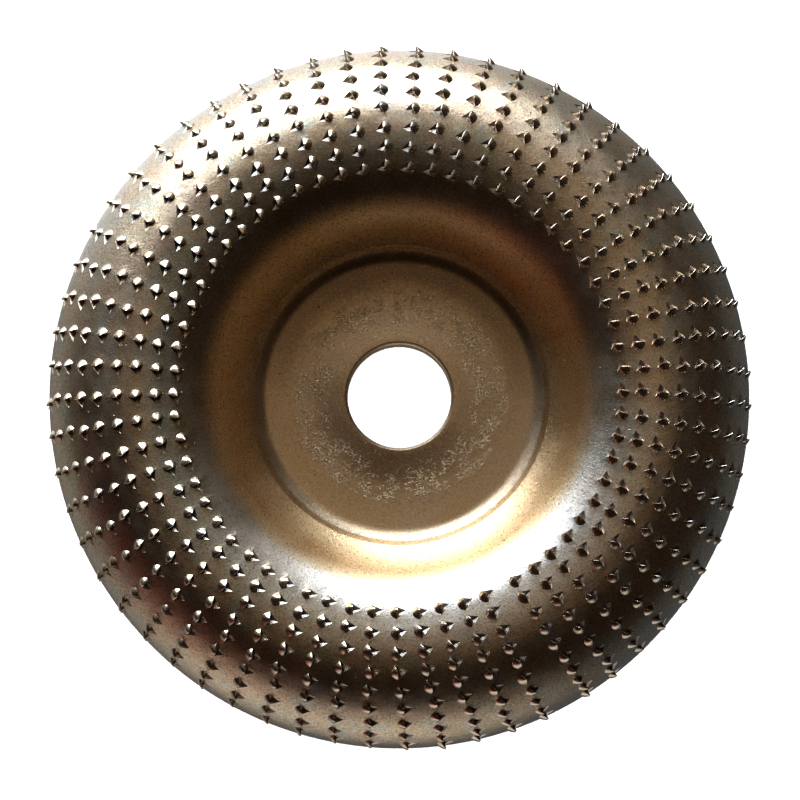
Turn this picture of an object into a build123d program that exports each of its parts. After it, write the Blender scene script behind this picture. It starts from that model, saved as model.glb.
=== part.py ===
from build123d import *
import math
import os
import random

# Carving disc for an angle grinder: one pressed steel shell with rows of rasp teeth punched up out of
# its own metal. Millimetres. The Z axis is the spin axis, +Z points out of the toothed front, and the
# origin is on that axis in the plane where the rim rests.

# Hub and bore
bore_diameter = 16.0
bore_rollover = 0.6
bore_back_chamfer = 0.3
sheet_thickness = 2.5
hub_corner_radius = 21.9
hub_step_height = 2.2
hub_step_angle = 60.0
hub_step_fillet = 2.6
lip_round = 0.4
back_lip_fillet = 1.0

# Bowl, shoulder and rim, as arcs of the front face that meet tangentially at the crest
crest_radius = 38.7
outer_arc_radius = 15.5
inner_arc_radius = 14.0
shoulder_angle = 53.0
lip_slope = 34.0
skirt_height = 1.0
rim_edge_radius = 0.3
equator_height = skirt_height
crest_height = equator_height + outer_arc_radius

# Rows of teeth: punched one after another round the disc, so the last gap, the seam, is wider
row_count = 61
row_step = 5.86
first_row_angle = 300.6
teeth_per_row = 9
first_tooth_arc = -4.6
tooth_pitch = 3.11
seam_rows_after = 2
seam_rows_before = 4
seam_teeth = teeth_per_row + 1
seam_pitch = 2.9
lean_peak = 2.6
lean_peak_angle = 262.0
back_lean_peak = 1.5
back_lean_angle = 20.0
angle_scatter = 0.3
arc_scatter = 0.16
scatter_seed = 61

# One tooth: a half cone behind its cutting edge, leaning the way the disc turns, over a pointed pit.
# Tooth and pit point a little towards the hub.
tooth_width = 2.1
tooth_back = 0.9
tooth_height = 0.85
tooth_lean = 0.35
tooth_turn = 10.0
tooth_back_facets = 5
root_depth = 0.3
pit_length = 1.6
pit_depth = 0.55
pit_clearance = 0.5


def profile_point(arc_length):
    """Front face of the toothed zone: radius, height and outward tilt at an arc length from the crest."""
    arc_radius = outer_arc_radius if arc_length > 0 else inner_arc_radius
    tilt = arc_length / arc_radius
    radius = crest_radius + arc_radius * math.sin(tilt)
    height = crest_height - arc_radius * (1 - math.cos(tilt))
    return radius, height, math.degrees(tilt)


def on_arc(centre, radius, angle):
    """Point at an angle, in degrees from +Z towards +X, on an arc of the section."""
    turn = math.radians(angle)
    return (centre[0] + radius * math.sin(turn), centre[1] + radius * math.cos(turn))


def bowl_arcs():
    """Centres of the outer arc, shoulder arc and bowl arc, the bowl arc's radius, and the lip corner."""
    outer_centre = (crest_radius, equator_height)
    shoulder_centre = (crest_radius, crest_height - inner_arc_radius)
    shoulder_end = on_arc(shoulder_centre, inner_arc_radius, -shoulder_angle)
    step_run = hub_step_height / math.tan(math.radians(hub_step_angle))
    lip_radius = hub_corner_radius + step_run
    steep, gentle = math.radians(shoulder_angle), math.radians(lip_slope)
    bowl_radius = (shoulder_end[0] - lip_radius) / (math.sin(steep) - math.sin(gentle))
    bowl_centre = on_arc(shoulder_end, bowl_radius, -shoulder_angle)
    lip = on_arc(bowl_centre, bowl_radius, 180 - lip_slope)
    return outer_centre, shoulder_centre, bowl_centre, bowl_radius, lip


def arc_through(centre, radius, start, end):
    """Arc of the section from one angle to another."""
    return ThreePointArc(
        on_arc(centre, radius, start), on_arc(centre, radius, (start + end) / 2), on_arc(centre, radius, end)
    )


def back_lip_corner(bowl_centre, back_bowl, back_corner):
    """Where the back of the hub step runs into the back of the bowl arc."""
    rise = math.radians(hub_step_angle)
    along = (math.cos(rise), math.sin(rise))
    offset = (back_corner[0] - bowl_centre[0], back_corner[1] - bowl_centre[1])
    half = offset[0] * along[0] + offset[1] * along[1]
    gap = offset[0] ** 2 + offset[1] ** 2 - back_bowl**2
    travel = -half - math.sqrt(half**2 - gap) if gap > 0 else -half + math.sqrt(half**2 - gap)
    return (back_corner[0] + travel * along[0], back_corner[1] + travel * along[1])


def shell_section():
    """Half section of the pressed shell in the XZ plane, with its edges rounded."""
    outer_centre, shoulder_centre, bowl_centre, bowl_radius, lip = bowl_arcs()
    hub_front = lip[1] - hub_step_height
    hub_back = hub_front - sheet_thickness
    bore_radius = bore_diameter / 2
    corner_shift = sheet_thickness * math.tan(math.radians(hub_step_angle) / 2)
    back_corner = (hub_corner_radius + corner_shift, hub_back)
    back_bowl = bowl_radius + sheet_thickness
    back_lip = back_lip_corner(bowl_centre, back_bowl, back_corner)
    back_lip_angle = math.degrees(math.atan2(back_lip[0] - bowl_centre[0], back_lip[1] - bowl_centre[1]))
    rim_outside = crest_radius + outer_arc_radius
    rim_inside = rim_outside - sheet_thickness
    bore_front, bore_back = (bore_radius, hub_front), (bore_radius, hub_back)
    hub_corner = (hub_corner_radius, hub_front)
    with BuildSketch(Plane.XZ) as section:
        with BuildLine():
            Line(bore_back, bore_front)
            Line(bore_front, hub_corner)
            Line(hub_corner, lip)
            arc_through(bowl_centre, bowl_radius, 180 - lip_slope, 180 - shoulder_angle)
            arc_through(shoulder_centre, inner_arc_radius, -shoulder_angle, 0)
            arc_through(outer_centre, outer_arc_radius, 0, 90)
            Line((rim_outside, equator_height), (rim_outside, 0))
            Line((rim_outside, 0), (rim_inside, 0))
            Line((rim_inside, 0), (rim_inside, equator_height))
            arc_through(outer_centre, outer_arc_radius - sheet_thickness, 90, 0)
            arc_through(shoulder_centre, inner_arc_radius - sheet_thickness, 0, -shoulder_angle)
            arc_through(bowl_centre, back_bowl, 180 - shoulder_angle, back_lip_angle)
            Line(back_lip, back_corner)
            Line(back_corner, bore_back)
        make_face()
        for place, radius in (
            (hub_corner, hub_step_fillet),
            (lip, lip_round),
            (back_corner, hub_step_fillet + sheet_thickness),
            (back_lip, back_lip_fillet),
            (bore_front, bore_rollover),
            ((rim_outside, 0), rim_edge_radius),
            ((rim_inside, 0), rim_edge_radius),
        ):
            fillet(nearest(section.vertices(), place), radius)
        chamfer(nearest(section.vertices(), bore_back), bore_back_chamfer)
    return section.sketch


def nearest(vertices, place):
    """The section's corner at a radius and height."""
    return vertices.sort_by(lambda v: (v.X - place[0]) ** 2 + (v.Y - place[1]) ** 2)[0]


def make_shell():
    """The pressed shell without its pits: hub plate, step, bowl, toothed shoulder and rim."""
    return revolve(shell_section(), Axis.Z, 360)


def row_angles():
    """Angle of every row, counter-clockwise from +X seen from the toothed side."""
    return [first_row_angle + row * row_step for row in range(row_count)]


def row_lean(angle):
    """How far a row strays from a true radius between its first and last tooth, in degrees."""
    forward = max(0.0, math.cos(math.radians(angle - lean_peak_angle))) ** 2
    backward = max(0.0, math.cos(math.radians(angle - back_lean_angle))) ** 2
    return lean_peak * forward - back_lean_peak * backward


def tooth_places():
    """Ring number, arc length and angle of every tooth, row by row."""
    scatter = random.Random(scatter_seed)
    places = []
    for row, angle in enumerate(row_angles()):
        beside_seam = row < seam_rows_after or row >= row_count - seam_rows_before
        teeth = seam_teeth if beside_seam else teeth_per_row
        pitch = seam_pitch if beside_seam else tooth_pitch
        row_shift = scatter.uniform(-arc_scatter, arc_scatter)
        for ring in range(teeth):
            arc_length = first_tooth_arc + ring * pitch + row_shift
            arc_length += scatter.uniform(-arc_scatter, arc_scatter)
            turn = angle + row_lean(angle) * ring / teeth_per_row
            turn += scatter.uniform(-angle_scatter, angle_scatter)
            places.append((ring + 1, arc_length, turn))
    return places


def tooth_plane(arc_length, angle):
    """Plane on the front face: x the way the tooth points, a little towards the hub, z out of the metal."""
    radius, height, tilt = profile_point(arc_length)
    turn, out, inward = math.radians(angle), math.radians(tilt), math.radians(tooth_turn)
    outward = Vector(math.cos(turn), math.sin(turn), 0)
    forward = Vector(-math.sin(turn), math.cos(turn), 0)
    normal = outward * math.sin(out) + Vector(0, 0, math.cos(out))
    along_row = outward * math.cos(out) - Vector(0, 0, math.sin(out))
    pointing = forward * math.cos(inward) - along_row * math.sin(inward)
    return Plane(outward * radius + Vector(0, 0, height), x_dir=pointing, z_dir=normal)


def pyramid(base, apex):
    """Closed solid from a base polygon, counter-clockwise seen from the apex side, and an apex."""
    points = [Vector(*point) for point in base]
    tip = Vector(*apex)
    sides = [
        Face(Wire.make_polygon([start, end, tip], close=True))
        for start, end in zip(points, points[1:] + points[:1])
    ]
    return Solid(Shell([Face(Wire.make_polygon(points[::-1], close=True)), *sides]))


def tooth_blank():
    """One tooth before its root is trimmed to the shell, at the origin of its own plane."""
    grow = (tooth_height + root_depth) / tooth_height
    base = []
    for step in range(tooth_back_facets + 1):
        swing = math.pi * step / tooth_back_facets
        back = -tooth_back * math.sin(swing)
        side = tooth_width / 2 * math.cos(swing)
        base.append((tooth_lean + (back - tooth_lean) * grow, side * grow, -root_depth))
    return pyramid(base, (tooth_lean, 0, tooth_height))


def pit_blank():
    """The punched pit in front of a tooth: two walls that meet in a groove and run out to a point."""
    half, top = tooth_width / 2, pit_clearance
    grow = (pit_depth + top) / pit_depth
    deepest = (0.0, 0.0, -pit_depth)
    base = [
        (0.0, half * grow, top),
        (0.0, -half * grow, top),
        (pit_length * grow, 0.0, top),
    ]
    return pyramid(base, deepest)


def save_ring(ring, blanks, shell):
    """Trims a ring of teeth to the shell they stand on and writes it as one node."""
    teeth = [solid for blank in blanks for solid in (blank - shell).solids()]
    name = f"tooth_ring_{ring:02d}"
    export_step(Compound(label=name, children=teeth), f"parts/{name}.step")
    print(name, len(teeth), "teeth")


def main():
    os.makedirs("parts", exist_ok=True)
    shell = make_shell()
    tooth, pit = tooth_blank(), pit_blank()
    rings = {}
    pits = []
    for ring, arc_length, angle in tooth_places():
        seat = tooth_plane(arc_length, angle).location
        rings.setdefault(ring, []).append(tooth.moved(seat))
        pits.append(pit.moved(seat))
    for ring, blanks in sorted(rings.items()):
        save_ring(ring, blanks, shell)
    pitted_shell = shell.cut(*pits)
    pitted_shell.label = "disc_shell"
    export_step(pitted_shell, "parts/disc_shell.step")


main()
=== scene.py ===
import math
import random

import bmesh
import bpy
import numpy as np
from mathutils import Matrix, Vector
from mathutils.geometry import delaunay_2d_cdt


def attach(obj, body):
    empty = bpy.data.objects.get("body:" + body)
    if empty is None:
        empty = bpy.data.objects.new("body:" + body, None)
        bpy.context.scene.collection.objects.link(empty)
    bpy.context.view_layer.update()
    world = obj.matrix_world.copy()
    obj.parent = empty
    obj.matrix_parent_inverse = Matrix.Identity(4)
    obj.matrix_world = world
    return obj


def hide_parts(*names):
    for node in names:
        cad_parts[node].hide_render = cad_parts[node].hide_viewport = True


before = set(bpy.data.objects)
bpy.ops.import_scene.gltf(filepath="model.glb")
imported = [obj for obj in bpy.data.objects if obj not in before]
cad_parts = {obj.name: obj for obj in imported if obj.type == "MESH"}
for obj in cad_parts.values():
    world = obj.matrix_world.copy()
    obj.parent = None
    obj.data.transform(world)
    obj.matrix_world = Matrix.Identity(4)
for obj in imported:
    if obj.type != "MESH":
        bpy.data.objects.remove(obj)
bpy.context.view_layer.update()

MM = 0.001

# ------------ dimensions shared with the CAD, mm
bore_radius = 8.0
bore_rollover = 0.6
bore_back_chamfer = 0.3
sheet = 2.5
hub_corner_radius = 21.9
hub_step_height = 2.2
hub_step_angle = 60.0
hub_step_fillet = 2.6
lip_round = 0.4
back_lip_fillet = 1.0
crest_radius = 38.7
outer_arc = 15.5
inner_arc = 14.0
shoulder_angle = 53.0
lip_slope = 34.0
skirt_height = 1.0
rim_edge_radius = 0.3
crest_height = skirt_height + outer_arc
row_count = 61
row_step = 5.86
first_row_angle = 300.6
teeth_per_row = 9
first_tooth_arc = -4.6
tooth_pitch = 3.11
seam_rows_after = 2
seam_rows_before = 4
seam_teeth = teeth_per_row + 1
seam_pitch = 2.9
lean_peak = 2.6
lean_peak_angle = 262.0
back_lean_peak = 1.5
back_lean_angle = 20.0
angle_scatter = 0.3
arc_scatter = 0.16
scatter_seed = 61
tooth_height = 0.85

# ------------ finer shape of the visual model, mm
# bow of the hub plate, up towards the bore and up towards its outer corner
bore_bow = 0.5
bore_bow_start = 14.6
bore_bow_power = 1.4
corner_bow = 0.42
corner_bow_start = 15.4
corner_bow_end = 21.4
corner_bow_power = 1.5
step_fade_end = 23.1
step_fade = 1.2

# a tooth and its pit, a little wider, longer and shallower than the CAD's
tooth_half_width = 1.13
tooth_back = 0.86
pit_length = 1.7
pit_depth = 0.46
pit_outer_shift = 0.06
pit_point_inward = 0.1
pit_deepest_ahead = 0.5
pit_deepest_side = 0.04
tip_side = -0.14
tip_lean = 0.46

# swelling of the sheet round a tooth, a faint dip outside it, and a rise at each end of the cutting edge
swell_height = 0.05
swell_centre = 0.25
swell_behind = 1.25
swell_ahead = 1.75
swell_side = 1.35
swell_width = 0.78
dip_depth = 0.008
dip_place = 1.42
dip_width = 0.3
corner_swell = 0.04
corner_ahead = 0.02
corner_side = 1.18
corner_length = 0.26
corner_width = 0.2

# mound of a tooth, from its foot on the sheet to the tip
mound_share = 0.985
foot_lead = 0.03
foot_power = 1.6
foot_sink = 0.05
foot_hollow = 0.1
foot_hollow_reach = 0.2
mound_belly = 0.07
mound_puff = 0.03

# front of a tooth: the torn land under its edge, and two hollow panels down to the pit
brow_ahead = 0.05
brow_side = 0.02
brow_drop = 0.1
outer_land = 0.19
inner_land = 0.05
land_lead = 0.75
land_fall = 0.7
land_start = 0.3
land_growth = 2.0
land_taper = 0.25
panel_hollow = 0.06
root_back = 0.03
root_sink = 0.04
keel_back = 0.3

# how bare and bright each part of a tooth is, which the tooth's material reads; below zero it is painted
# shade on the front panels
edge_bright = 0.85
foot_bright = 0.15
slope_bright = 0.5
brow_bright = 0.9
land_bright = 0.8
painted_panel_shade = -0.6
keel_bright = 0.1
burr_bright = 0.7

# burrs where the edge runs into the sheet
inner_burr_gap = 0.04
outer_burr_gap = 0.05
outer_burr_share = 0.7
burr_lead = 0.02
burr_sink = 0.04
burr_crown_lead = 0.05
burr_crown_share = 1.1

# ------------ mesh, mm
# turned front and back
segments = 480
front_step = 0.4
bore_step = 0.6
plate_step = 0.7
back_step = 0.5
back_rim_step = 0.6
back_plate_step = 0.8
same_point = 1e-4
corner_clearance = 1.02

# toothed zone, as arc lengths from the crest, with the net cleared round each tooth
zone_start = -7.7
zone_end = outer_arc * math.pi / 2
seam_cut = 297.5
grid_step = 0.56
zone_edge_fade = 0.6
seam_edge_fade = 0.3
clear_behind = 1.5
clear_ahead = 2.2
clear_side = 1.5
outline_rings = ((0.13, 22), (0.32, 20), (0.58, 18))
outline_taper = 0.42
foot_spots = 6
foot_spot_back = 0.95
foot_spot_side = 0.97
net_tolerance = 1e-5

# how far a tooth's swelling and halo reach, and how soon a pit counts as deep
swell_reach = 4.0
swell_reach_across = 3.2
halo_ahead = 0.3
halo_width = 1.5
pit_fill = 6
on_edge = 1e-4

# raised teeth, and where shading turns sharp, degrees
mound_steps = 16
mound_levels = 6
burr_corners = 5
pit_sharp_angle = 17
tooth_sharp_angle = 34
look_seed = 1204
weld_distance_m = 2e-6


# ------------ section
def on_arc(centre, radius, angle):
    """Point at an angle, in degrees from +Z towards +X, on an arc of the section."""
    turn = math.radians(angle)
    return (centre[0] + radius * math.sin(turn), centre[1] + radius * math.cos(turn))


def arc_points(centre, radius, start, end, step):
    """Points on an arc of the section, about a step apart."""
    count = max(2, int(abs(math.radians(end - start)) * radius / step))
    return [on_arc(centre, radius, start + (end - start) * i / count) for i in range(count + 1)]


def rounded(before, corner, after, radius, steps):
    """Fillet points at a corner between two nearly straight runs, and how far along each run it starts."""
    a = Vector(before) - Vector(corner)
    b = Vector(after) - Vector(corner)
    a.normalize()
    b.normalize()
    half = a.angle(b) / 2
    trim = radius / math.tan(half)
    centre = Vector(corner) + (a + b).normalized() * (radius / math.sin(half))
    first = Vector(corner) + a * trim - centre
    last = Vector(corner) + b * trim - centre
    sweep = first.angle_signed(last)
    points = []
    for i in range(steps + 1):
        turn = -sweep * i / steps
        c, s = math.cos(turn), math.sin(turn)
        points.append((centre.x + first.x * c - first.y * s, centre.y + first.x * s + first.y * c))
    return points, trim


def trimmed(points, corner, trim):
    """Points of a run that lie clear of a rounded corner."""
    return [p for p in points if math.dist(p, corner) > trim * corner_clearance]


def divided(start, end, count):
    """Points that divide a straight run into equal parts, with both its ends."""
    return [
        (start[0] + (end[0] - start[0]) * i / count, start[1] + (end[1] - start[1]) * i / count)
        for i in range(count + 1)
    ]


def line_points(start, end, step):
    """Points on a straight run, about a step apart."""
    return divided(start, end, max(1, int(math.dist(start, end) / step)))


def chain(*runs):
    """Joins runs of points and drops points that repeat."""
    points = []
    for run in runs:
        for p in run:
            if not points or math.dist(points[-1], p) > same_point:
                points.append(p)
    return points


outer_centre = (crest_radius, skirt_height)
shoulder_centre = (crest_radius, crest_height - inner_arc)
shoulder_end = on_arc(shoulder_centre, inner_arc, -shoulder_angle)
step_run = hub_step_height / math.tan(math.radians(hub_step_angle))
lip_radius = hub_corner_radius + step_run
bowl_radius = (shoulder_end[0] - lip_radius) / (
    math.sin(math.radians(shoulder_angle)) - math.sin(math.radians(lip_slope))
)
bowl_centre = on_arc(shoulder_end, bowl_radius, -shoulder_angle)
lip = on_arc(bowl_centre, bowl_radius, 180 - lip_slope)
hub_front = lip[1] - hub_step_height
hub_back = hub_front - sheet
back_bowl = bowl_radius + sheet
back_corner = (hub_corner_radius + sheet * math.tan(math.radians(hub_step_angle) / 2), hub_back)
rim_outside = crest_radius + outer_arc
rim_inside = rim_outside - sheet


def back_lip_point():
    """Where the back of the step runs into the back of the bowl."""
    rise = math.radians(hub_step_angle)
    along = (math.cos(rise), math.sin(rise))
    offset = (back_corner[0] - bowl_centre[0], back_corner[1] - bowl_centre[1])
    half = offset[0] * along[0] + offset[1] * along[1]
    gap = offset[0] ** 2 + offset[1] ** 2 - back_bowl**2
    travel = -half - math.sqrt(half**2 - gap) if gap > 0 else -half + math.sqrt(half**2 - gap)
    return (back_corner[0] + travel * along[0], back_corner[1] + travel * along[1])


def front_run():
    """Section points from the back of the bore, over the hub and bowl, to the toothed zone."""
    bore_front = (bore_radius, hub_front)
    chamfer_low = (bore_radius + bore_back_chamfer, hub_back)
    chamfer_top = (bore_radius, hub_back + bore_back_chamfer)
    corner = (hub_corner_radius, hub_front)
    roll, _ = rounded((bore_radius, hub_back), bore_front, corner, bore_rollover, steps=6)
    inside, _ = rounded(bore_front, corner, lip, hub_step_fillet, steps=14)
    bowl = arc_points(bowl_centre, bowl_radius, 180 - lip_slope, 180 - shoulder_angle, front_step)
    over, over_trim = rounded(corner, lip, bowl[1], lip_round, steps=5)
    start_angle = math.degrees(zone_start / inner_arc)
    shoulder = arc_points(shoulder_centre, inner_arc, -shoulder_angle, start_angle, front_step)
    return chain(
        [chamfer_low, chamfer_top],
        line_points(chamfer_top, roll[0], bore_step),
        roll,
        line_points(roll[-1], inside[0], plate_step),
        inside,
        line_points(inside[-1], over[0], front_step),
        over,
        trimmed(bowl, lip, over_trim),
        shoulder,
    )


def plate_dish(radius):
    """How far the pressed plate bows up towards the bore and towards its outer corner, mm."""
    inward = max(0.0, (bore_bow_start - radius) / (bore_bow_start - bore_radius))
    past = min(radius, corner_bow_end) - corner_bow_start
    outward = max(0.0, past / (corner_bow_end - corner_bow_start))
    fade = min(1.0, max(0.0, (step_fade_end - radius) / step_fade))
    return bore_bow * inward**bore_bow_power + corner_bow * outward**corner_bow_power * fade


def dished(points):
    """Front section with the plate's bow, which fades down the bore wall."""
    return [
        (r, z + plate_dish(r) * min(1.0, (z - hub_back) / sheet)) if z > hub_back else (r, z)
        for r, z in points
    ]


def back_run():
    """Section points from the foot of the toothed zone, round the rim edge and over the whole back."""
    foot_out, foot_in = (rim_outside, 0.0), (rim_inside, 0.0)
    out, _ = rounded((rim_outside, skirt_height), foot_out, foot_in, rim_edge_radius, steps=8)
    inn, _ = rounded(foot_out, foot_in, (rim_inside, skirt_height), rim_edge_radius, steps=8)
    torus = arc_points(outer_centre, outer_arc - sheet, 90, 0, back_rim_step)
    shoulder = arc_points(shoulder_centre, inner_arc - sheet, 0, -shoulder_angle, back_step)
    back_lip = back_lip_point()
    lip_angle = math.degrees(math.atan2(back_lip[0] - bowl_centre[0], back_lip[1] - bowl_centre[1]))
    bowl = arc_points(bowl_centre, back_bowl, 180 - shoulder_angle, lip_angle, back_step)
    over, over_trim = rounded(bowl[-2], back_lip, back_corner, back_lip_fillet, steps=6)
    chamfer_low = (bore_radius + bore_back_chamfer, hub_back)
    inside, _ = rounded(back_lip, back_corner, chamfer_low, hub_step_fillet + sheet, steps=10)
    return chain(
        [(rim_outside, skirt_height)],
        out,
        inn,
        [(rim_inside, skirt_height)],
        torus,
        shoulder,
        trimmed(bowl, back_lip, over_trim),
        over,
        inside,
        line_points(inside[-1], chamfer_low, back_plate_step),
    )


def zone_point(arc_length):
    """Arrays of radius, height and outward tilt (radians) at arc lengths in the toothed zone."""
    arc_length = np.asarray(arc_length, float)
    bend = np.where(arc_length > 0, outer_arc, inner_arc)
    tilt = arc_length / bend
    return crest_radius + bend * np.sin(tilt), crest_height - bend * (1 - np.cos(tilt)), tilt


def placed(turn, arc_length, rise):
    """Points in metres from angle (radians), arc length (mm) and rise along the surface normal (mm)."""
    radius, height, tilt = zone_point(arc_length)
    reach = radius + rise * np.sin(tilt)
    lift = height + rise * np.cos(tilt)
    return np.stack([reach * np.cos(turn), reach * np.sin(turn), lift], axis=-1) * MM


# ------------ teeth and their scatter
def row_lean(angle):
    """How far a row strays from a true radius between its first and last tooth, in degrees."""
    forward = max(0.0, math.cos(math.radians(angle - lean_peak_angle))) ** 2
    backward = max(0.0, math.cos(math.radians(angle - back_lean_angle))) ** 2
    return lean_peak * forward - back_lean_peak * backward


def tooth_places():
    """Ring number, arc length and angle of every tooth, row by row, as the CAD has them."""
    scatter = random.Random(scatter_seed)
    places = []
    for row in range(row_count):
        angle = first_row_angle + row * row_step
        beside_seam = row < seam_rows_after or row >= row_count - seam_rows_before
        teeth = seam_teeth if beside_seam else teeth_per_row
        pitch = seam_pitch if beside_seam else tooth_pitch
        row_shift = scatter.uniform(-arc_scatter, arc_scatter)
        for ring in range(teeth):
            arc_length = first_tooth_arc + ring * pitch + row_shift
            arc_length += scatter.uniform(-arc_scatter, arc_scatter)
            turn = angle + row_lean(angle) * ring / teeth_per_row
            turn += scatter.uniform(-angle_scatter, angle_scatter)
            places.append((ring + 1, arc_length, turn))
    return places


class Tooth:
    """One punched tooth: where it is, and how it differs a little from its neighbours."""

    def __init__(self, ring, arc_length, angle, rng):
        self.ring = ring
        self.arc = arc_length
        self.turn = math.radians(angle)
        self.radius = float(zone_point(arc_length)[0])
        self.size = rng.uniform(0.95, 1.06)
        self.tall = rng.uniform(0.9, 1.1)
        self.skew = rng.uniform(0.12, 0.24)
        self.tip_side = tip_side + rng.uniform(-0.14, 0.12)
        self.tip_lean = tip_lean + rng.uniform(-0.08, 0.08)
        self.deep = rng.uniform(0.92, 1.05)
        self.long = rng.uniform(0.94, 1.08)
        self.bright = rng.uniform(0.0, 1.0)
        self.swirl = rng.uniform(-0.05, 0.05)
        self.burr = rng.uniform(0.06, 0.15)

    def world(self, forward, side):
        """Angle and arc length of a point given forward of and beside the cutting line, mm."""
        forward = np.asarray(forward, float)
        side = np.asarray(side, float)
        ahead = forward + self.skew * side
        return self.turn + ahead / self.radius, self.arc + side - self.skew * forward

    def local(self, turn, arc_length):
        """Forward and side of points given by angle and arc length: the reverse of world."""
        ahead = (turn - self.turn) * self.radius
        side = arc_length - self.arc
        return ahead - self.skew * side, side + self.skew * ahead


rng = random.Random(look_seed)
teeth = [Tooth(*place, rng) for place in tooth_places()]


# ------------ the pressed shell
def pit_corners(t):
    """Inner corner, outer corner, run-out point and deepest point of a pit: forward, side."""
    half = tooth_half_width * t.size
    return (
        (0.0, -half),
        (pit_outer_shift, half),
        (pit_length * t.long, t.swirl - pit_point_inward),
        (pit_deepest_ahead, pit_deepest_side + t.swirl),
    )


def bell(distance, width):
    """1 at no distance, falling smoothly to 0 past a width."""
    return np.exp(-((distance / width) ** 2))


def swelling(ahead, side):
    """Rise of the sheet round a tooth: pushed up behind it and at its corners, dished just outside."""
    along = np.where(ahead < swell_centre, swell_behind, swell_ahead)
    away = np.sqrt(((ahead - swell_centre) / along) ** 2 + (side / swell_side) ** 2)
    swell = swell_height * bell(away, swell_width) - dip_depth * bell(away - dip_place, dip_width)
    corner = bell(np.abs(side) - corner_side, corner_width) * bell(ahead - corner_ahead, corner_length)
    return swell + corner_swell * corner


def outline(t, gap, count):
    """Closed outline round a tooth and its pit at a gap, forward and side."""
    half = tooth_half_width * t.size
    points = []
    for i in range(count):
        phase = 2 * math.pi * (i + 0.5) / count
        c, s = math.cos(phase), math.sin(phase)
        length = pit_length * t.long if c > 0 else tooth_back
        side = half * s * (1 - outline_taper * c * c) if c > 0 else half * s
        norm = Vector((c / length, s / half)).normalized()
        points.append((length * c + norm.x * gap, side + norm.y * gap))
    return points


def tooth_net(t):
    """Points round and inside one tooth's seat and pit, and the pit's edges and groove as point pairs."""
    points = list(pit_corners(t))
    inner, outer, point, deep = range(4)
    creases = (
        (inner, point, 6), (outer, point, 6), (inner, outer, 5),
        (deep, inner, 3), (deep, outer, 3), (deep, point, 5),
    )
    edges = []
    for start, end, steps in creases:
        trail = [start]
        for spot in divided(points[start], points[end], steps)[1:-1]:
            points.append(spot)
            trail.append(len(points) - 1)
        trail.append(end)
        edges += zip(trail, trail[1:])
    for gap, count in outline_rings:
        points += outline(t, gap, count)
    for k in range(1, foot_spots):
        swing = math.pi * k / foot_spots
        for share in (1.0, 0.6):
            back = -tooth_back * foot_spot_back * share * math.sin(swing)
            points.append((back, foot_spot_side * share * math.cos(swing)))
    return np.array(points), edges


def zone_mesh():
    """Vertices and triangles of the toothed zone, with every pit's edges and groove kept as edges."""
    start = math.radians(seam_cut)
    rows = int(round((zone_end - zone_start) / grid_step))
    arcs = np.linspace(zone_start, zone_end, rows + 1)
    turns = start + 2 * math.pi * np.arange(segments + 1) / segments
    grid_turn, grid_arc = np.meshgrid(turns, arcs, indexing="ij")
    border = np.zeros(grid_turn.shape, bool)
    border[0] = border[-1] = True
    border[:, 0] = border[:, -1] = True
    keep = np.ones(grid_turn.shape, bool)
    for t in teeth:
        ahead, side = t.local(grid_turn, grid_arc)
        keep &= ~((ahead > -clear_behind) & (ahead < clear_ahead) & (np.abs(side) < clear_side))
    keep |= border
    turn, arc = [grid_turn[keep]], [grid_arc[keep]]
    count = int(keep.sum())
    edges = []
    for t in teeth:
        points, creases = tooth_net(t)
        edges += [(count + i, count + j) for i, j in creases]
        where_turn, where_arc = t.world(points[:, 0], points[:, 1])
        turn.append(where_turn)
        arc.append(where_arc)
        count += len(points)
    turn, arc = np.concatenate(turn), np.concatenate(arc)
    flat = [Vector((float(a - start) * crest_radius, float(b))) for a, b in zip(turn, arc)]
    out_verts, _, out_faces, _, _, _ = delaunay_2d_cdt(flat, edges, [], 0, net_tolerance, False)
    place = np.array([(v.x, v.y) for v in out_verts])
    return place[:, 0] / crest_radius + start, place[:, 1], out_faces


def cross(o, a, b):
    """Twice the signed area of a triangle."""
    return (a[0] - o[0]) * (b[1] - o[1]) - (a[1] - o[1]) * (b[0] - o[0])


def pit_fall(t, ahead, side):
    """Share of a pit's depth at points, from 0 on its outline to 1 at its deepest, and -1 outside it."""
    corner_in, corner_out, point, deep = pit_corners(t)
    spot = (ahead, side)
    fall = np.full(len(ahead), -1.0)
    for a, b in ((corner_in, point), (point, corner_out), (corner_out, corner_in)):
        whole = cross(deep, a, b)
        share_deep = cross(spot, a, b) / whole
        share_a = cross(deep, spot, b) / whole
        share_b = cross(deep, a, spot) / whole
        within = (share_deep > on_edge) & (share_a > -on_edge) & (share_b > -on_edge)
        fall = np.where(within, share_deep, fall)
    return fall


def shell_rise(turn, arc):
    """Rise of the toothed zone at points, and how strongly each is near a tooth or inside a pit."""
    rise, halo, pit = (np.zeros(len(turn)) for _ in range(3))
    order = np.argsort(turn)
    sorted_turn = turn[order]
    for t in teeth:
        reach = swell_reach / t.radius
        low, high = np.searchsorted(sorted_turn, (t.turn - reach, t.turn + reach))
        near = order[low:high]
        near = near[np.abs(arc[near] - t.arc) < swell_reach_across]
        ahead, side = t.local(turn[near], arc[near])
        rise[near] += swelling(ahead, side)
        spread = np.hypot((ahead - halo_ahead) / halo_width, side / halo_width)
        halo[near] = np.maximum(halo[near], bell(spread, 1.0))
        fall = pit_fall(t, ahead, side)
        inside, down = near[fall > 0], fall[fall > 0]
        rise[inside] = rise[inside] * (1 - down) - pit_depth * t.deep * down
        pit[inside] = np.maximum(pit[inside], np.clip(down * pit_fill, 0, 1))
    return rise, halo, pit


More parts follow.
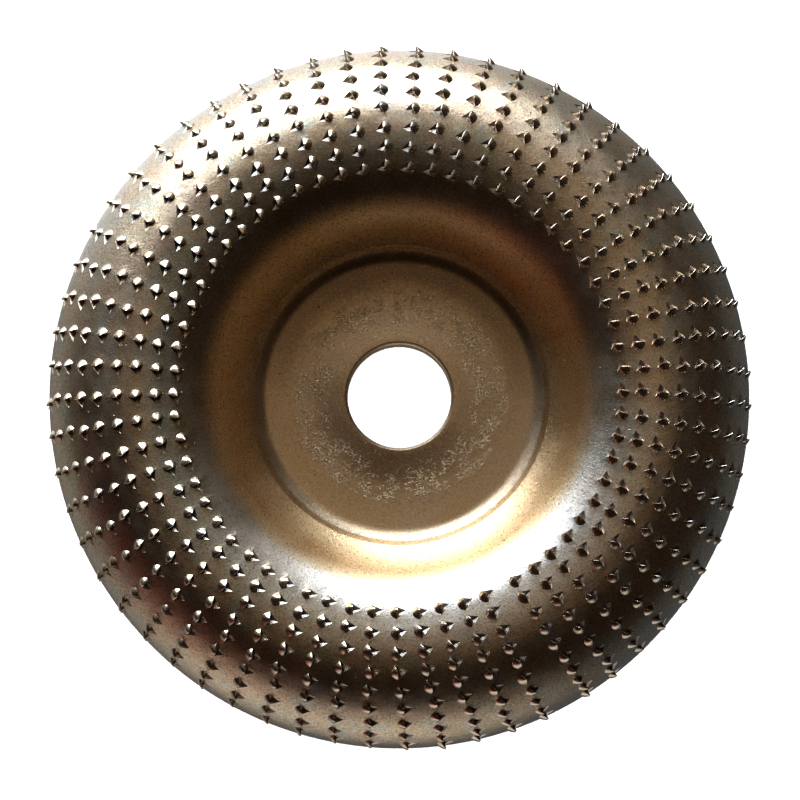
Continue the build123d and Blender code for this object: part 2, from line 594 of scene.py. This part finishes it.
def mesh_object(name, verts, faces, layers, sharp_angle, weld=False):
    """A smooth object with a value per point in each named layer, and edges sharp past an angle."""
    mesh = bpy.data.meshes.new(name)
    mesh.from_pydata(verts, [], faces)
    for label, values in layers.items():
        layer = mesh.attributes.new(label, "FLOAT", "POINT")
        layer.data.foreach_set("value", np.array(values, np.float32))
    bm = bmesh.new()
    bm.from_mesh(mesh)
    if weld:
        bmesh.ops.remove_doubles(bm, verts=bm.verts, dist=weld_distance_m)
    bmesh.ops.recalc_face_normals(bm, faces=bm.faces)
    bm.to_mesh(mesh)
    bm.free()
    mesh.shade_smooth()
    mesh.set_sharp_from_angle(angle=math.radians(sharp_angle))
    return link(name, mesh)


def link(name, data):
    """A new object in the scene that shows a mesh, or is a light or the camera."""
    obj = bpy.data.objects.new(name, data)
    bpy.context.scene.collection.objects.link(obj)
    return obj


def shell_object():
    """The toothed zone as one net, joined to the turned front and back."""
    turn, arc, zone_faces = zone_mesh()
    rise, halo, pit = shell_rise(turn, arc)
    start = math.radians(seam_cut)
    from_seam = np.minimum(turn - start, start + 2 * math.pi - turn) * crest_radius
    fade = np.clip((arc - zone_start) / zone_edge_fade, 0, 1)
    fade *= np.clip((zone_end - arc) / zone_edge_fade, 0, 1)
    fade *= np.clip(from_seam / seam_edge_fade, 0, 1)
    verts = [placed(turn, arc, rise * fade)]
    faces = [tuple(f) for f in zone_faces]
    base = len(turn)
    spin = start + 2 * math.pi * np.arange(segments) / segments
    for run in (dished(front_run()), back_run()):
        ring = np.array(run)
        grid = np.stack([
            np.outer(np.cos(spin), ring[:, 0]),
            np.outer(np.sin(spin), ring[:, 0]),
            np.outer(np.ones(segments), ring[:, 1]),
        ], axis=-1).reshape(-1, 3)
        verts.append(grid * MM)
        n = len(run)
        for j in range(segments):
            here, there = base + j * n, base + (j + 1) % segments * n
            for i in range(n - 1):
                faces.append((here + i, here + i + 1, there + i + 1, there + i))
        base += len(grid)
    plain = np.zeros(base - len(turn))
    layers = {"halo": np.concatenate([halo, plain]), "pit": np.concatenate([pit, plain])}
    points = [tuple(v) for v in np.concatenate(verts)]
    return mesh_object("pressed_shell", points, faces, layers, pit_sharp_angle, weld=True)


# ------------ teeth
class ToothMesh:
    """Vertices (forward, side, rise, edge brightness) and faces of one raised tooth."""

    def __init__(self, t):
        self.t = t
        self.half = tooth_half_width * t.size * mound_share
        self.tall = tooth_height * t.tall
        self.tip = (t.tip_lean, t.tip_side, self.tall)
        self.verts = []
        self.faces = []
        mound = self.add_mound()
        self.add_front(mound)
        self.add_burr(-self.half - inner_burr_gap, t.burr)
        self.add_burr(self.half + outer_burr_gap, t.burr * outer_burr_share)

    def add(self, ahead, side, rise, bright):
        self.verts.append((ahead, side, rise, bright))
        return len(self.verts) - 1

    def add_fan(self, ring, centre):
        """Triangles from a closed ring of vertices to one more."""
        for a, b in zip(ring, ring[1:] + ring[:1]):
            self.faces.append((a, b, centre))

    def add_mound(self):
        """Straight runs from the foot on the sheet up to the tip, hollow at the foot."""
        mound = []
        for k in range(mound_steps + 1):
            swing = math.pi * k / mound_steps
            c, s = math.cos(swing), math.sin(swing)
            foot_ahead = foot_lead + foot_lead * c - tooth_back * self.t.size * abs(s) ** foot_power
            foot_side = self.half * c
            run = []
            for j in range(mound_levels):
                share = j / mound_levels
                bow = math.sin(math.pi * share)
                hollow = foot_hollow * s * math.exp(-((share / foot_hollow_reach) ** 2)) * bow
                lift = share + mound_belly * bow - hollow
                ahead = foot_ahead * (1 - share) + self.tip[0] * share - mound_puff * bow * s * s
                side = foot_side * (1 - share) + self.tip[1] * share + mound_puff * bow * c
                sheet_rise = float(swelling(np.array(ahead), np.array(side)))
                rise = self.tall * lift + sheet_rise * (1 - share) - (foot_sink if j == 0 else 0.0)
                bright = edge_bright if k in (0, mound_steps) else foot_bright + slope_bright * share**3
                run.append(self.add(ahead, side, rise, bright))
            mound.append(run)
        peak = self.add(*self.tip, 1.0)
        for run in mound:
            run.append(peak)
        for left, right in zip(mound, mound[1:]):
            for j in range(mound_levels - 1):
                self.faces.append((left[j], left[j + 1], right[j + 1], right[j]))
            self.faces.append((left[-2], peak, right[-2]))
        return mound

    def between(self, a, b, share, ahead=0.0):
        """A vertex of the front, carrying painted shade, on the line between two points, moved forward."""
        spot = [p + (q - p) * share for p, q in zip(a[:3], b[:3])]
        return self.add(spot[0] + ahead, spot[1], spot[2], painted_panel_shade)

    def add_front(self, mound):
        """The torn land under the edge, two panels that meet in a groove, and the underside."""
        t, verts = self.t, self.verts
        root = (pit_deepest_ahead - root_back, pit_deepest_side + t.swirl, -pit_depth * t.deep - root_sink)
        brow = self.add(self.tip[0] + brow_ahead, self.tip[1] + brow_side, self.tall - brow_drop, brow_bright)
        groove = [self.between(root, verts[brow], j / mound_levels) for j in range(mound_levels)] + [brow]
        feet = []
        for edge, width, outer in ((mound[0], outer_land, True), (mound[-1], inner_land, False)):
            land, panel = [], []
            for j in range(mound_levels):
                share = j / mound_levels
                drop = width * min(1.0, land_start + land_growth * share) * (1 - land_taper * share)
                v = verts[edge[j]]
                foot = (v[0] + drop * land_lead, v[1] * mound_share, v[2] - drop * land_fall)
                land.append(self.add(*foot, land_bright))
                hollow = panel_hollow * (1 - share)
                panel.append(self.between(verts[land[j]], verts[groove[j]], 0.5, -hollow))
            land.append(brow)
            panel.append(brow)
            for j in range(mound_levels):
                for a, b in ((edge, land), (land, panel), (panel, groove)):
                    loop = list(dict.fromkeys((a[j], a[j + 1], b[j + 1], b[j])))
                    if len(loop) > 2:
                        self.faces.append(tuple(loop if outer else loop[::-1]))
            feet.append((land[0], panel[0]))
        (outer_foot, outer_panel_foot), (inner_foot, inner_panel_foot) = feet
        loop = [run[0] for run in mound]
        loop += [inner_foot, inner_panel_foot, groove[0], outer_panel_foot, outer_foot]
        self.add_fan(loop, self.add(-tooth_back * keel_back, 0.0, -pit_depth, keel_bright))

    def add_burr(self, side, size):
        """A small crown of metal thrown up where the edge runs into the sheet."""
        ring = []
        for k in range(burr_corners):
            swing = 2 * math.pi * (k + 0.5 * self.t.bright) / burr_corners
            ahead = burr_lead + size * math.cos(swing)
            ring.append(self.add(ahead, side + size * math.sin(swing), -burr_sink, burr_bright))
        self.add_fan(ring, self.add(burr_crown_lead, side, size * burr_crown_share, 1.0))
        self.faces.append(tuple(ring[::-1]))


def ring_object(ring):
    """All the teeth of one ring as one mesh that follows the curved front."""
    spots, faces, bright, tone = [], [], [], []
    for t in teeth:
        if t.ring != ring:
            continue
        tooth = ToothMesh(t)
        base = len(spots)
        table = np.array(tooth.verts)
        turn, arc = t.world(table[:, 0], table[:, 1])
        spots.extend(tuple(p) for p in placed(turn, arc, table[:, 2]))
        bright.extend(table[:, 3])
        tone.extend([t.bright] * len(table))
        faces.extend(tuple(base + i for i in f) for f in tooth.faces)
    layers = {"edge": bright, "tone": tone}
    return mesh_object(f"punched_teeth_{ring:02d}", spots, faces, layers, tooth_sharp_angle)


# ------------ materials
def material_nodes(name):
    """A new material and its node tree's short hand."""
    material = bpy.data.materials.new(name)
    material.use_nodes = True
    tree = material.node_tree
    return material, Nodes(tree, tree.nodes["Principled BSDF"])


class Nodes:
    """Short hand for building a node tree."""

    def __init__(self, tree, shader):
        self.tree = tree
        self.shader = shader

    def put(self, value, socket):
        if isinstance(value, bpy.types.NodeSocket):
            self.tree.links.new(value, socket)
        elif value is not None:
            socket.default_value = value

    def math(self, kind, a, b=None):
        node = self.tree.nodes.new("ShaderNodeMath")
        node.operation = kind
        for value, socket in zip((a, b), node.inputs):
            self.put(value, socket)
        return node.outputs[0]

    def times(self, first, *others):
        """Product of two or more values."""
        for other in others:
            first = self.math("MULTIPLY", first, other)
        return first

    def plus(self, a, b):
        return self.math("ADD", a, b)

    def mix(self, share, a, b, blend="MIX"):
        node = self.tree.nodes.new("ShaderNodeMix")
        node.data_type = "RGBA"
        node.blend_type = blend
        self.put(share, node.inputs[0])
        self.put(a, node.inputs[6])
        self.put(b, node.inputs[7])
        return node.outputs[2]

    def tint(self, colour, share, other):
        """A colour with a share of a plain colour mixed in."""
        return self.mix(share, colour, (*other, 1))

    def ramp(self, value, *stops):
        node = self.tree.nodes.new("ShaderNodeValToRGB")
        marks = node.color_ramp.elements
        while len(marks) < len(stops):
            marks.new(0.5)
        for mark, (place, colour) in zip(marks, stops):
            mark.position = place
            mark.color = (*colour, 1)
        self.put(value, node.inputs[0])
        return node.outputs[0]

    def band(self, value, low, high, a=0.0, b=1.0):
        """Smooth step from a where the value is low to b where it is high; low may be the larger."""
        node = self.tree.nodes.new("ShaderNodeMapRange")
        node.interpolation_type = "SMOOTHSTEP"
        self.put(value, node.inputs[0])
        for number, socket in zip((low, high, a, b), node.inputs[1:5]):
            self.put(number, socket)
        return node.outputs[0]

    def noise(self, vector, scale, detail=2.0, rough=0.5, twist=0.0):
        node = self.tree.nodes.new("ShaderNodeTexNoise")
        self.put(vector, node.inputs["Vector"])
        self.put(scale, node.inputs["Scale"])
        self.put(detail, node.inputs["Detail"])
        self.put(rough, node.inputs["Roughness"])
        self.put(twist, node.inputs["Distortion"])
        return node.outputs[0]

    def dots(self, vector, scale, full, none):
        """Round dots, one in each cell of a random pattern: 1 within a distance and 0 beyond another."""
        node = self.tree.nodes.new("ShaderNodeTexVoronoi")
        self.put(vector, node.inputs["Vector"])
        self.put(scale, node.inputs["Scale"])
        return self.band(node.outputs["Distance"], none, full)

    def join(self, x, y, z):
        node = self.tree.nodes.new("ShaderNodeCombineXYZ")
        for value, socket in zip((x, y, z), node.inputs):
            self.put(value, socket)
        return node.outputs[0]

    def apart(self, vector):
        node = self.tree.nodes.new("ShaderNodeSeparateXYZ")
        self.put(vector, node.inputs[0])
        return node.outputs

    def attribute(self, name):
        node = self.tree.nodes.new("ShaderNodeAttribute")
        node.attribute_name = name
        return node.outputs["Fac"]

    def place(self):
        """Object coordinates in millimetres."""
        coords = self.tree.nodes.new("ShaderNodeTexCoord").outputs["Object"]
        scaled = self.tree.nodes.new("ShaderNodeVectorMath")
        scaled.operation = "SCALE"
        self.put(coords, scaled.inputs[0])
        scaled.inputs["Scale"].default_value = 1 / MM
        return scaled.outputs[0]

    def reach(self, x, y):
        """Distance from the spin axis."""
        return self.math("SQRT", self.plus(self.times(x, x), self.times(y, y)))

    def bump(self, height, strength, distance, below=None):
        node = self.tree.nodes.new("ShaderNodeBump")
        node.inputs["Strength"].default_value = strength
        node.inputs["Distance"].default_value = distance
        self.put(height, node.inputs["Height"])
        if below is not None:
            self.put(below, node.inputs["Normal"])
        return node.outputs[0]


def toward(n, x, y, angle, power):
    """1 on the side of the disc at an angle, falling off to 0 round it."""
    c, s = math.cos(math.radians(angle)), math.sin(math.radians(angle))
    dot = n.plus(n.times(x, c), n.times(y, s))
    cosine = n.math("DIVIDE", dot, n.math("MAXIMUM", n.reach(x, y), 0.001))
    return n.math("POWER", n.math("MAXIMUM", cosine, 0.0), power)


# heat colours of the toothed shoulder, with painted shade and a painted highlight on its far and near sides
bronze_drift = (
    (0.30, (0.50, 0.42, 0.30)),
    (0.44, (0.55, 0.43, 0.28)),
    (0.53, (0.60, 0.44, 0.27)),
    (0.62, (0.53, 0.43, 0.30)),
    (0.72, (0.46, 0.43, 0.34)),
)
blue_green = (0.33, 0.43, 0.42)
copper = (0.62, 0.43, 0.27)
seam_violet = (0.33, 0.31, 0.46)
straw = (0.56, 0.47, 0.27)
teal = (0.36, 0.45, 0.40)
rose = (0.60, 0.38, 0.27)
# painted shade for the far side of the shoulder, and a painted highlight for its near side
painted_far_shade = (0.20, 0.165, 0.12)
painted_near_highlight = (0.84, 0.79, 0.70)

# bowl and hub plate
# amber painted into the bowl: a painted reflection of the warm light the bowl throws onto itself
painted_bowl_reflection = (0.93, 0.62, 0.30)
plate_bronze = (0.66, 0.47, 0.275)
# painted shade for the far side of the hub plate
plate_painted_shade_brown = (0.17, 0.10, 0.06)
oil_brown = (0.19, 0.115, 0.068)
scuff_brown = (0.24, 0.15, 0.085)
scuff_gold = (1.0, 0.76, 0.42)
fleck_gold = (0.98, 0.80, 0.46)

# finish of the whole shell
scale_black = (0.05, 0.04, 0.035)
grain_dark = (0.22, 0.165, 0.11)
grain_light = (0.86, 0.73, 0.53)
pit_grey = (0.58, 0.53, 0.46)

# teeth
tooth_grey = (0.58, 0.55, 0.48)
edge_white = (0.84, 0.79, 0.71)
# painted shade for the front of each tooth
painted_front_shade = (0.16, 0.115, 0.085)

# radii where a part of the shell's finish begins and ends, mm: outside, full, full, outside
plate_edge = (22.4, 21.6)
worn_edge = (17.0, 15.4)
scuff_start = (10.2, 12.4)
scuff_end = (17.2, 15.6)
# radii of the painted shade on the hub plate
plate_painted_shade_start = (15.2, 18.8)
oil_end = (14.6, 11.0)
# radii of the painted reflection in the bowl
bowl_zone = (22.3, 23.8, 27.8, 31.0)
# radii of the painted shade and painted highlight on the shoulder
shoulder_start = (28.5, 31.0)
shoulder_end_fade = (43.0, 37.0)
toothed_start = (30.0, 34.0)
cool_zone = (33.0, 36.0, 37.5, 41.5)
warm_zone = (40.0, 42.5, 44.0, 47.5)

# sides of the disc, degrees counter-clockwise from +X
cool_side = 125
cool_left_side = 215
warm_side = 110
seam_side = 305
# sides where the shoulder gets painted shade and a painted highlight
painted_far_shade_side = 115
painted_near_highlight_side = 285
# side where the hub plate gets painted shade
plate_painted_shade_side = 88
oil_side = 245

# noise scales, per mm, and how far a border wanders, mm
slow_scale = 0.035
drift_scale = 0.16
hue_scale = 0.28
patch_scale = 0.55
speck_patch_scale = 0.2
speck_scale = 0.42
straw_scale = 0.22
violet_scale = 0.35
fleck_scale = 1.9
coarse_scale = 1.3
speckle_scale = 2.8
grain_scale = 3.1
scrape_scale = 3.2
fine_scale = 3.6
torn_scale = 5.0
wander_width = 9.0


def tempered(n, vector):
    """Bronze of tempered steel with slow drifts of straw and brown, and the noise it drifts by."""
    slow = n.noise(vector, slow_scale, 2.0, 0.5, 0.6)
    medium = n.noise(vector, drift_scale, 3.0, 0.55, 0.4)
    drift = n.plus(n.times(slow, 0.65), n.times(medium, 0.35))
    return n.ramp(drift, *bronze_drift), medium


class ShellFinish:
    """Colour, roughness and relief of the pressed shell. Radii are in mm, angles in degrees."""

    def __init__(self, n):
        self.n = n
        self.vector = n.place()
        self.x, self.y, _ = n.apart(self.vector)
        self.radius = n.reach(self.x, self.y)
        self.bronze, self.medium = tempered(n, self.vector)
        self.halo, self.pit = n.attribute("halo"), n.attribute("pit")
        self.wander = n.times(n.math("SUBTRACT", self.medium, 0.5), wander_width)
        self.reach = n.plus(self.radius, self.wander)
        self.plate = n.band(self.radius, *plate_edge)
        self.worn = n.times(n.band(self.strayed(0.12), *worn_edge), self.plate)
        self.patchy = n.noise(self.vector, patch_scale, 4.0, 0.62)
        ring_lines = n.join(n.times(self.x, 0.3), n.times(self.y, 0.3), n.times(self.radius, 4.0))
        self.lines = n.noise(ring_lines, 1.0, 3.0, 0.65)
        self.speckle = n.noise(self.vector, speckle_scale, 3.0, 0.75)
        scuff_ring = n.times(n.band(self.radius, *scuff_start), n.band(self.strayed(0.25), *scuff_end))
        self.scuffed = n.times(scuff_ring, n.band(self.patchy, 0.42, 0.66))
        scraped = n.times(n.band(self.lines, 0.34, 0.52), self.scuffed)
        self.rubbed = n.times(n.band(self.speckle, 0.51, 0.59), scraped)
        speck_patches = n.band(n.noise(self.vector, speck_patch_scale, 1.0), 0.5, 0.62)
        self.speck = n.times(n.dots(self.vector, speck_scale, 0.05, 0.085), speck_patches)
        self.grain = n.noise(self.vector, grain_scale, 3.0, 0.75)
        self.rolled = n.math("SUBTRACT", 1.0, n.times(self.plate, 0.35))

    def strayed(self, share):
        """The radius, straying by a share of the wander, for a border that isn't a true circle."""
        return self.n.plus(self.radius, self.n.times(self.wander, share))

    def ring(self, value, inner, inner_full, outer_full, outer):
        """1 between two radii, fading out on both sides."""
        return self.n.times(self.n.band(value, inner, inner_full), self.n.band(value, outer, outer_full))

    def toward(self, angle, power):
        return toward(self.n, self.x, self.y, angle, power)

    def heat_tints(self, colour):
        """Bands on the shoulder, violet and straw round the teeth, and drifts over the toothed zone."""
        n = self.n
        cool_sides = n.plus(self.toward(cool_side, 1.5), n.times(self.toward(cool_left_side, 2.0), 0.8))
        cool = n.times(self.ring(self.reach, *cool_zone), cool_sides)
        colour = n.tint(colour, n.times(cool, 0.75), blue_green)
        warm = n.times(self.ring(self.reach, *warm_zone), self.toward(warm_side, 1.5))
        colour = n.tint(colour, n.times(warm, 0.4), copper)
        seam = n.times(self.toward(seam_side, 2.5), n.band(n.noise(self.vector, violet_scale), 0.46, 0.6))
        violet = n.times(seam, n.band(self.halo, 0.15, 0.6))
        colour = n.tint(colour, n.times(violet, 0.55), seam_violet)
        yellowed = n.times(n.band(self.halo, 0.05, 0.5), n.band(n.noise(self.vector, straw_scale), 0.5, 0.66))
        colour = n.tint(colour, n.times(yellowed, 0.3), straw)
        hue = n.noise(self.vector, hue_scale, 3.0, 0.6, 0.6)
        toothed = n.band(self.radius, *toothed_start)
        colour = n.tint(colour, n.times(n.band(hue, 0.53, 0.66, 0.0, 0.5), toothed), teal)
        return n.tint(colour, n.times(n.band(hue, 0.47, 0.34, 0.0, 0.5), toothed), rose)

    def shoulder_and_bowl(self, colour):
        """Painted shade inside the shoulder on the far side, a painted highlight on the near side, and amber
        painted into the bowl as a painted reflection.
        """
        n = self.n
        shoulder = n.times(n.band(self.radius, *shoulder_start), n.band(self.reach, *shoulder_end_fade))
        # painted shade on the far side of the shoulder and a painted highlight on its near side
        colour = n.tint(colour, n.times(shoulder, self.toward(painted_far_shade_side, 1.0), 0.62), painted_far_shade)
        colour = n.tint(colour, n.times(shoulder, self.toward(painted_near_highlight_side, 1.0), 0.75), painted_near_highlight)
        # painted reflection: amber over the bowl for the light it throws onto itself
        bowl = self.ring(self.radius, *bowl_zone)
        return n.tint(colour, n.times(bowl, 0.92), painted_bowl_reflection)

    def hub_plate(self, colour):
        """Browner than the bowl, with painted shade on the far side, oiled by the bore and scuffed by the
        nut.
        """
        n = self.n
        colour = n.tint(colour, n.times(self.plate, 0.88), plate_bronze)
        # painted shade over the outer hub plate on its far side
        plate_painted_shade = n.times(n.band(self.strayed(0.2), *plate_painted_shade_start), self.toward(plate_painted_shade_side, 0.5))
        colour = n.tint(colour, n.times(plate_painted_shade, self.plate, 0.72), plate_painted_shade_brown)
        oil = n.times(n.band(self.strayed(0.3), *oil_end), self.toward(oil_side, 0.6))
        colour = n.tint(colour, n.times(oil, 0.66), oil_brown)
        dulled = n.times(n.band(self.speckle, 0.51, 0.42), self.scuffed, 0.55)
        colour = n.tint(colour, dulled, scuff_brown)
        colour = n.tint(colour, self.rubbed, scuff_gold)
        fleck = n.times(n.dots(self.vector, fleck_scale, 0.12, 0.30), n.band(self.patchy, 0.48, 0.58))
        fleck = n.times(fleck, self.worn)
        return n.tint(colour, n.times(fleck, 0.85), fleck_gold)

    def specks_and_grain(self, colour):
        """Specks of scale, sandy grain that is weaker on the rolled plate, and bared metal in the pits."""
        n = self.n
        colour = n.tint(colour, n.times(self.speck, 0.85), scale_black)
        dark = n.times(n.band(self.grain, 0.50, 0.64, 0.0, 0.75), self.rolled)
        colour = n.tint(colour, dark, grain_dark)
        light = n.times(n.band(self.grain, 0.48, 0.32, 0.0, 0.5), self.rolled)
        colour = n.tint(colour, light, grain_light)
        return n.tint(colour, n.times(self.pit, 0.6), pit_grey)

    def colour(self):
        colour = self.heat_tints(self.bronze)
        colour = self.shoulder_and_bowl(colour)
        colour = self.hub_plate(colour)
        return self.specks_and_grain(colour)

    def roughness(self):
        """Satin all over, rougher where it is worn or scaled, smoother in the pits."""
        n = self.n
        rough = n.plus(n.band(self.medium, 0.35, 0.65, 0.29, 0.36), n.band(self.grain, 0.3, 0.7, -0.03, 0.05))
        for value, change in ((self.plate, 0.02), (self.worn, 0.05), (self.pit, -0.08), (self.speck, 0.3)):
            rough = n.plus(rough, n.times(value, change))
        return rough

    def relief(self):
        """Grain of the sheet, then the nut's score lines, then scuffs and sunken specks. Depths in metres."""
        n = self.n
        fine = n.noise(self.vector, fine_scale, 3.0, 0.75)
        coarse = n.noise(self.vector, coarse_scale)
        texture = n.plus(n.times(fine, 0.7), n.times(coarse, 0.3))
        sheet_grain = n.bump(n.times(texture, self.rolled), 0.8, 0.00009)
        scored = n.times(self.lines, n.plus(n.times(self.worn, 1.1), n.times(self.plate, 0.3)))
        score_lines = n.bump(scored, 0.35, 0.00004, sheet_grain)
        return n.bump(n.plus(self.rubbed, n.times(self.speck, -0.5)), 1.0, 0.00008, score_lines)


def shell_material():
    """Tempered steel of the pressed shell."""
    material, n = material_nodes("tempered_steel_shell")
    finish = ShellFinish(n)
    n.put(finish.colour(), n.shader.inputs["Base Color"])
    n.put(finish.roughness(), n.shader.inputs["Roughness"])
    n.put(finish.relief(), n.shader.inputs["Normal"])
    n.shader.inputs["Metallic"].default_value = 1.0
    return material


def tooth_material():
    """The same steel, bared along the cutting edge, with painted shade on the front of each tooth."""
    material, n = material_nodes("punched_tooth_steel")
    vector = n.place()
    colour, _ = tempered(n, vector)
    edge, tone = n.attribute("edge"), n.attribute("tone")
    colour = n.tint(colour, n.band(tone, 0.0, 1.0, 0.05, 0.4), tooth_grey)
    scrape = n.noise(vector, scrape_scale, 3.0, 0.6)
    bare = n.plus(edge, n.band(scrape, 0.35, 0.65, -0.25, 0.2))
    colour = n.tint(colour, n.band(bare, 0.45, 1.0), edge_white)
    # painted shade on the front panels of each tooth
    front = n.band(edge, 0.2, -0.4)
    colour = n.tint(colour, front, painted_front_shade)
    n.put(colour, n.shader.inputs["Base Color"])
    rough = n.plus(n.band(scrape, 0.3, 0.7, 0.2, 0.3), n.times(front, 0.2))
    n.put(rough, n.shader.inputs["Roughness"])
    torn = n.noise(vector, torn_scale, 3.0, 0.6)
    n.put(n.bump(torn, 0.3, 0.00003), n.shader.inputs["Normal"])
    n.shader.inputs["Metallic"].default_value = 1.0
    return material


# ------------ build
shell = shell_object()
shell.data.materials.append(shell_material())
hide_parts("disc_shell")
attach(shell, "root")

steel = tooth_material()
for ring in range(1, seam_teeth + 1):
    piece = ring_object(ring)
    piece.data.materials.append(steel)
    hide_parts(f"tooth_ring_{ring:02d}")
    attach(piece, "root")


# ------------ floor, light and camera, metres
floor_half = 1.6
paper_white = (0.86, 0.86, 0.86, 1)
paper_roughness = 0.9
paper_light = 4.4
camera_view = math.radians(7.31)
camera_tilt = math.radians(4.9)
camera_distance = 0.97
camera_target = Vector((0.0001, -0.0003, 0.001))


def floor():
    mesh = bpy.data.meshes.new("floor")
    corners = [(x * floor_half, y * floor_half, 0) for x, y in ((-1, -1), (1, -1), (1, 1), (-1, 1))]
    mesh.from_pydata(corners, [], [(0, 1, 2, 3)])
    obj = link("floor", mesh)
    material, n = material_nodes("floor_paper")
    n.shader.inputs["Base Color"].default_value = paper_white
    n.shader.inputs["Roughness"].default_value = paper_roughness
    mesh.materials.append(material)
    return obj


def spherical(distance, azimuth, elevation):
    """Point round the disc. Azimuth counter-clockwise from +X, in degrees."""
    a, e = math.radians(azimuth), math.radians(elevation)
    return Vector((math.cos(e) * math.cos(a), math.cos(e) * math.sin(a), math.sin(e))) * distance


def softbox(name, azimuth, elevation, distance, width, height, watts, colour):
    """A soft rectangular light aimed at the disc."""
    data = bpy.data.lights.new(name, "AREA")
    data.shape = "RECTANGLE"
    data.size = width
    data.size_y = height
    data.energy = watts
    data.color = colour
    obj = link(name, data)
    obj.location = spherical(distance, azimuth, elevation)
    obj.rotation_euler = (-obj.location).to_track_quat("-Z", "Y").to_euler()


def light_paper(ground):
    """Light for the paper alone, so that it stays white without washing out the metal."""
    sun = bpy.data.lights.new("paper_light", "SUN")
    sun.energy = paper_light
    only_floor = bpy.data.collections.new("paper_only")
    only_floor.objects.link(ground)
    link("paper_light", sun).light_linking.receiver_collection = only_floor


def studio():
    """The dim room round the disc: warm above, dark at the sides, the bench below lit from the window."""
    world = bpy.data.worlds.new("studio")
    world.use_nodes = True
    n = Nodes(world.node_tree, world.node_tree.nodes["Background"])
    x, y, up = n.apart(n.tree.nodes.new("ShaderNodeTexCoord").outputs["Generated"])

    def facing(azimuth, full, none):
        """1 within an angle of an azimuth and 0 beyond another, in degrees."""
        cosine = toward(n, x, y, azimuth, 1.0)
        return n.band(cosine, math.cos(math.radians(none)), math.cos(math.radians(full)))

    def height(low, low_full, high_full, high):
        """1 between two elevations, fading to 0 outside them, in degrees."""
        a, b, c, d = (math.sin(math.radians(e)) for e in (low, low_full, high_full, high))
        return n.times(n.band(up, a, b), n.band(up, d, c))

    def lobe(light, side, rise, colour):
        """Adds light of a colour from one side of the room between two heights."""
        return n.mix(n.times(side, rise), light, (*colour, 1), "ADD")

    # dark walls, and a bench that is cooler below
    light = n.mix(n.band(up, -0.1, -0.5), (0.014, 0.0085, 0.006, 1), (0.10, 0.115, 0.13, 1))
    # warm ceiling, a little past straight up
    overhead = n.plus(n.times(up, 0.99), n.times(y, 0.139))
    light = n.mix(n.band(overhead, 0.83, 0.997), light, (0.22, 0.158, 0.10, 1), "ADD")
    # bench under the window, and the wider glow round it
    light = lobe(light, facing(112, 22, 42), n.band(up, 0.02, -0.12), (1.2, 1.35, 1.6))
    light = lobe(light, facing(95, 15, 62), n.band(up, 0.1, -0.3), (0.22, 0.20, 0.18))
    # wall above the window, lower and upper part
    light = lobe(light, facing(83, 15, 46), height(-10, 12, 56, 84), (0.20, 0.19, 0.155))
    light = lobe(light, facing(82, 12, 46), height(42, 56, 70, 84), (0.26, 0.235, 0.17))
    # dim walls to the left of the window and on the right
    light = lobe(light, facing(150, 3, 17), height(-60, -15, 25, 60), (0.16, 0.15, 0.12))
    light = lobe(light, facing(10, 15, 60), height(-20, 0, 30, 60), (0.02, 0.013, 0.009))
    # pale paper on the bench, near and on the left
    light = lobe(light, facing(258, 8, 46), height(-53, -34, -10, 9), (0.97, 0.97, 0.98))
    light = lobe(light, facing(190, 15, 60), height(-90, -50, -35, -8), (0.26, 0.25, 0.24))
    # something red near the left corner of the bench
    light = lobe(light, facing(226, 6, 36), height(-26, -10, 6, 20), (0.17, 0.024, 0.022))
    n.put(light, n.shader.inputs[0])
    bpy.context.scene.world = world


ground = floor()
ground.visible_glossy = False
softbox(
    "window", azimuth=105, elevation=15, distance=1.0,
    width=1.05, height=0.66, watts=21, colour=(0.87, 1.0, 1.22),
)
light_paper(ground)
studio()
bpy.context.scene.view_settings.view_transform = "Standard"

camera_data = bpy.data.cameras.new("camera")
camera_data.angle = camera_view
camera = link("camera", camera_data)
camera.location = camera_target + Vector((0, -math.sin(camera_tilt), math.cos(camera_tilt))) * camera_distance
camera.rotation_euler = (camera_tilt, 0, 0)
bpy.context.scene.camera = camera
